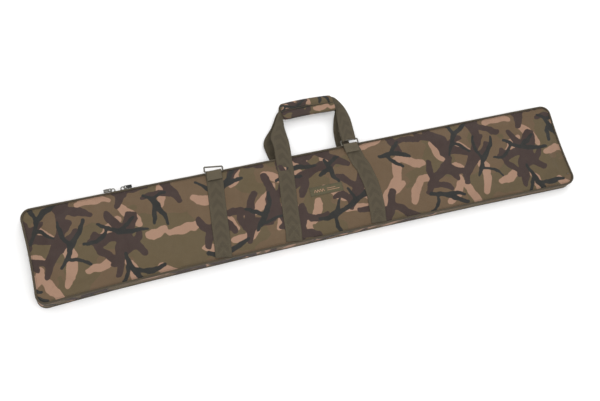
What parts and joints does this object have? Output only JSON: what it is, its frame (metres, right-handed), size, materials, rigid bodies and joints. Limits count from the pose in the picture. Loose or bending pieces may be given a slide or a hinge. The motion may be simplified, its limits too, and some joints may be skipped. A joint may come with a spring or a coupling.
{
  "type": "padded carry case",
  "caption": "Long slim padded case that opens on a zipped front panel, with webbing grab handles, a wrapped grip and rings for a shoulder strap.",
  "frame": {"origin": "centre of the rear panel's flat face, on the surface the case lies on", "axes": "+X along the case's length, +Y towards the handle edge, +Z out of the front panel"},
  "size_m": [1.72, 0.4618, 0.0668],
  "materials": {
    "camo_cloth": "woodland print on a fine plain weave, coated inside",
    "grip_cloth": "the same print on the padded grip",
    "foam": "closed cell padding",
    "lining": "smooth dark lining",
    "piping": "dark olive brown binding over cord",
    "zip_tape": "black woven tape",
    "zip_coil": "moulded coil",
    "zip_metal": "gunmetal plate",
    "pull_metal": "dark enamel over metal",
    "strap_webbing": "olive webbing with a tone on tone weave",
    "plain_webbing": "plain olive webbing",
    "ring_metal": "dull nickel wire",
    "label": "blank woven label"
  },
  "bodies": {
    "base": {"rear_panel_cloth": "camo_cloth", "rear_panel_foam": "foam", "rear_panel_lining": "lining", "gusset_top": "camo_cloth", "gusset_bottom": "camo_cloth", "gusset_left": "camo_cloth", "gusset_right": "camo_cloth", "rear_piping": "piping", "zip_tape_rear": "zip_tape", "zip_coil_rear": "zip_coil", "zip_stop_left": "zip_metal", "zip_stop_right": "zip_metal", "rear_strap_left": "strap_webbing", "rear_strap_right": "strap_webbing", "handle_rear_root_left": "plain_webbing", "handle_rear_root_right": "plain_webbing"},
    "lid": {"front_panel_cloth": "camo_cloth", "front_panel_foam": "foam", "front_panel_lining": "lining", "hinge_gusset": "camo_cloth", "front_piping": "piping", "zip_tape_front": "zip_tape", "zip_coil_front": "zip_coil", "front_strap_left": "strap_webbing", "front_strap_middle": "strap_webbing", "front_strap_right": "strap_webbing", "ring_tab_left": "plain_webbing", "ring_tab_right": "plain_webbing", "blank_label": "label", "handle_front_root": "strap_webbing"},
    "front_handle": {"handle_front_left_leg": "strap_webbing", "handle_front_right_leg": "plain_webbing", "handle_front_grip_band": "plain_webbing", "grip_padding": "foam", "grip_wrap": "grip_cloth", "ring_right": "ring_metal"},
    "rear_handle": {"handle_rear_left_leg": "plain_webbing", "handle_rear_right_leg": "plain_webbing", "handle_rear_grip_band": "plain_webbing"},
    "left_ring": {"ring_left": "ring_metal"},
    "left_slider": {"slider_left": "zip_metal"},
    "right_slider": {"slider_right": "zip_metal"},
    "left_pull": {"pull_left": "pull_metal"},
    "right_pull": {"pull_right": "pull_metal"}
  },
  "joints": [
    {"name": "lid_hinge", "type": "hinge", "parent": "base", "child": "lid", "pos_m": [0, -0.1405, 0.046], "axis": [1, 0, 0], "range_deg": [0, 180]},
    {"name": "front_handle_hinge", "type": "hinge", "parent": "lid", "child": "front_handle", "pos_m": [0, 0.1374, 0.0623], "axis": [1, 0, 0], "range_deg": [0, 145], "deforming": ["handle_front_root"]},
    {"name": "rear_handle_hinge", "type": "hinge", "parent": "base", "child": "rear_handle", "pos_m": [0, 0.1374, 0.0623], "axis": [1, 0, 0], "range_deg": [0, 145], "deforming": ["handle_rear_root_left", "handle_rear_root_right"]},
    {"name": "ring_left_hinge", "type": "hinge", "parent": "lid", "child": "left_ring", "pos_m": [-0.289, 0.1374, 0.0623], "axis": [0.9914, -0.1305, 0], "range_deg": [0, 150]},
    {"name": "slider_left_slide", "type": "slide", "parent": "base", "child": "left_slider", "axis": [1, 0, 0], "range_m": [-0.23, 0]},
    {"name": "slider_right_slide", "type": "slide", "parent": "base", "child": "right_slider", "axis": [1, 0, 0], "range_m": [0, 1.36]},
    {"name": "pull_left_hinge", "type": "hinge", "parent": "left_slider", "child": "left_pull", "pos_m": [-0.583, 0.1415, 0.046], "axis": [0, 0, -1], "range_deg": [0, 95]},
    {"name": "pull_right_hinge", "type": "hinge", "parent": "right_slider", "child": "right_pull", "pos_m": [-0.567, 0.1415, 0.046], "axis": [0, 0, 1], "range_deg": [0, 95]}
  ],
  "couplings": [
    {"joint": "rear_handle_hinge", "follows": "front_handle_hinge", "ratio": 1}
  ]
}
